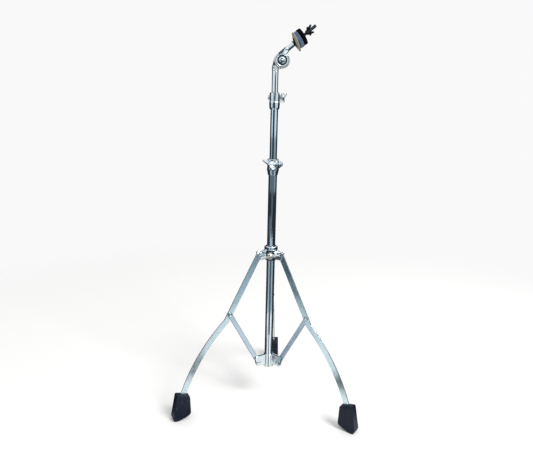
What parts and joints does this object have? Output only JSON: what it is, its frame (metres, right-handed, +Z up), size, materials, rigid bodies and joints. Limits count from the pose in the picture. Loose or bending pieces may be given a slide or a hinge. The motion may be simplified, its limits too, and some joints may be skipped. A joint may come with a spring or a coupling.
{
  "type": "straight cymbal stand",
  "caption": "Height-adjustable straight cymbal stand with a single-braced folding tripod, telescoping tubes in wing-bolt clamps and a ratchet tilter carrying a rod with felts.",
  "frame": {"origin": "on the floor, under the middle of the box round the whole stand; the tube axis stands about 63 mm towards -Y from it", "axes": "+Z up along the tubes, +Y towards the rear leg, +X to the right as the picture shows it; the two front legs go to the front left and front right"},
  "size_m": [0.4848, 0.4222, 0.9968],
  "materials": {
    "tube_chrome": "bright polished plating",
    "cast_chrome": "bright plating over a die casting",
    "zinc_strip": "bright zinc plating over flat steel strip",
    "nickel": "warm nickel plating",
    "plain_steel": "plain turned steel",
    "foot_rubber": "moulded, satin",
    "nylon": "moulded nylon, satin",
    "black_plastic": "moulded, semi-gloss",
    "blue_felt": "pressed wool felt",
    "black_felt": "pressed wool felt"
  },
  "bodies": {
    "base": {"base_tube": "tube_chrome", "bottom_hub": "cast_chrome", "hub_cross_pin": "plain_steel", "rear_hub_pin": "plain_steel", "right_hub_pin": "plain_steel", "left_hub_pin": "plain_steel", "tube_end_plug": "black_plastic", "base_collar": "cast_chrome", "base_clamp_nut": "zinc_strip"},
    "base_wing": {"base_wing_bolt": "cast_chrome"},
    "middle_swivel": {"base_bushing": "nylon"},
    "middle": {"middle_tube": "tube_chrome", "upper_collar": "cast_chrome", "upper_clamp_nut": "zinc_strip"},
    "upper_wing": {"upper_wing_bolt": "cast_chrome"},
    "top_swivel": {"upper_bushing": "nylon"},
    "top": {"top_tube": "tube_chrome", "tilter_lower": "cast_chrome", "tilter_spring": "plain_steel"},
    "tilter_nut": {"tilter_wing_nut": "cast_chrome"},
    "arm": {"tilter_upper": "cast_chrome", "tilter_bolt": "cast_chrome", "tilter_washer": "cast_chrome", "cymbal_rod": "plain_steel", "rod_sleeve": "black_plastic", "cup_washer": "cast_chrome", "lower_felt": "blue_felt", "upper_felt": "black_felt"},
    "cymbal_nut": {"cymbal_wing_nut": "black_plastic"},
    "leg_slider": {"leg_collar": "cast_chrome", "leg_collar_bushing": "nylon", "rear_collar_pin": "plain_steel", "right_collar_pin": "plain_steel", "left_collar_pin": "plain_steel", "pressure_shoe": "plain_steel"},
    "leg_wing": {"leg_wing_bolt": "nickel"},
    "rear_brace": {"rear_strut": "zinc_strip", "rear_knee_rivet": "plain_steel"},
    "rear_leg": {"rear_leg": "zinc_strip", "rear_foot": "foot_rubber"},
    "right_brace": {"right_strut": "zinc_strip", "right_knee_rivet": "plain_steel"},
    "right_leg": {"right_leg": "zinc_strip", "right_foot": "foot_rubber"},
    "left_brace": {"left_strut": "zinc_strip", "left_knee_rivet": "plain_steel"},
    "left_leg": {"left_leg": "zinc_strip", "left_foot": "foot_rubber"}
  },
  "joints": [
    {"name": "base_wing_turn", "type": "hinge", "parent": "base", "child": "base_wing", "pos_m": [0.00554, -0.08352, 0.65943], "axis": [-0.829, -0.5592, 0], "continuous": true},
    {"name": "middle_tube_swivel", "type": "hinge", "parent": "base", "child": "middle_swivel", "pos_m": [0.00082, -0.06257, 0.66018], "axis": [0, 0, 1], "continuous": true},
    {"name": "middle_tube_slide", "type": "slide", "parent": "middle_swivel", "child": "middle", "axis": [0, 0, 1], "range_m": [-0.115, 0.2]},
    {"name": "upper_wing_turn", "type": "hinge", "parent": "middle", "child": "upper_wing", "pos_m": [0.00503, -0.04152, 0.82243], "axis": [0.9848, 0.1736, 0], "continuous": true},
    {"name": "top_tube_swivel", "type": "hinge", "parent": "middle", "child": "top_swivel", "pos_m": [0.00082, -0.06257, 0.82318], "axis": [0, 0, 1], "continuous": true},
    {"name": "top_tube_slide", "type": "slide", "parent": "top_swivel", "child": "top", "axis": [0, 0, 1], "range_m": [-0.045, 0.2]},
    {"name": "tilter_tilt", "type": "hinge", "parent": "top", "child": "arm", "pos_m": [0.01611, -0.06002, 0.91068], "axis": [-0.165, 0.9863, 0], "range_deg": [-65, 60]},
    {"name": "tilter_nut_turn", "type": "hinge", "parent": "top", "child": "tilter_nut", "pos_m": [0.01611, -0.06002, 0.91068], "axis": [-0.165, 0.9863, 0], "continuous": true},
    {"name": "cymbal_nut_turn", "type": "hinge", "parent": "arm", "child": "cymbal_nut", "pos_m": [0.07372, -0.05038, 0.97581], "axis": [0.761, 0.1274, 0.6361], "continuous": true},
    {"name": "tripod_fold", "type": "hinge", "parent": "base", "child": "rear_brace", "pos_m": [0.00082, -0.03097, 0.11818], "axis": [-1, 0, 0], "range_deg": [-24, 11.5]},
    {"name": "rear_knee_turn", "type": "hinge", "parent": "rear_brace", "child": "rear_leg", "pos_m": [0.00082, 0.05243, 0.26758], "axis": [-1, 0, 0], "range_deg": [-22.93, 47.3]},
    {"name": "right_brace_fold", "type": "hinge", "parent": "base", "child": "right_brace", "pos_m": [0.02819, -0.07837, 0.11818], "axis": [0.5, 0.866, 0], "range_deg": [-24, 11.5]},
    {"name": "right_knee_turn", "type": "hinge", "parent": "right_brace", "child": "right_leg", "pos_m": [0.10042, -0.12007, 0.26758], "axis": [0.5, 0.866, 0], "range_deg": [-22.93, 47.3]},
    {"name": "left_brace_fold", "type": "hinge", "parent": "base", "child": "left_brace", "pos_m": [-0.02654, -0.07837, 0.11818], "axis": [0.5, -0.866, 0], "range_deg": [-24, 11.5]},
    {"name": "left_knee_turn", "type": "hinge", "parent": "left_brace", "child": "left_leg", "pos_m": [-0.09877, -0.12007, 0.26758], "axis": [0.5, -0.866, 0], "range_deg": [-22.93, 47.3]},
    {"name": "leg_slider_turn", "type": "hinge", "parent": "rear_leg", "child": "leg_slider", "pos_m": [0.00082, -0.03057, 0.42518], "axis": [-1, 0, 0], "range_deg": [-23.3, 11.42]},
    {"name": "leg_wing_turn", "type": "hinge", "parent": "leg_slider", "child": "leg_wing", "pos_m": [0.00082, -0.08587, 0.42368], "axis": [0, -1, 0], "continuous": true}
  ],
  "couplings": [
    {"joint": "rear_knee_turn", "follows": "tripod_fold", "ratio": -1.95},
    {"joint": "right_brace_fold", "follows": "tripod_fold", "ratio": 1},
    {"joint": "right_knee_turn", "follows": "tripod_fold", "ratio": -1.95},
    {"joint": "left_brace_fold", "follows": "tripod_fold", "ratio": 1},
    {"joint": "left_knee_turn", "follows": "tripod_fold", "ratio": -1.95},
    {"joint": "leg_slider_turn", "follows": "tripod_fold", "ratio": 0.95}
  ]
}
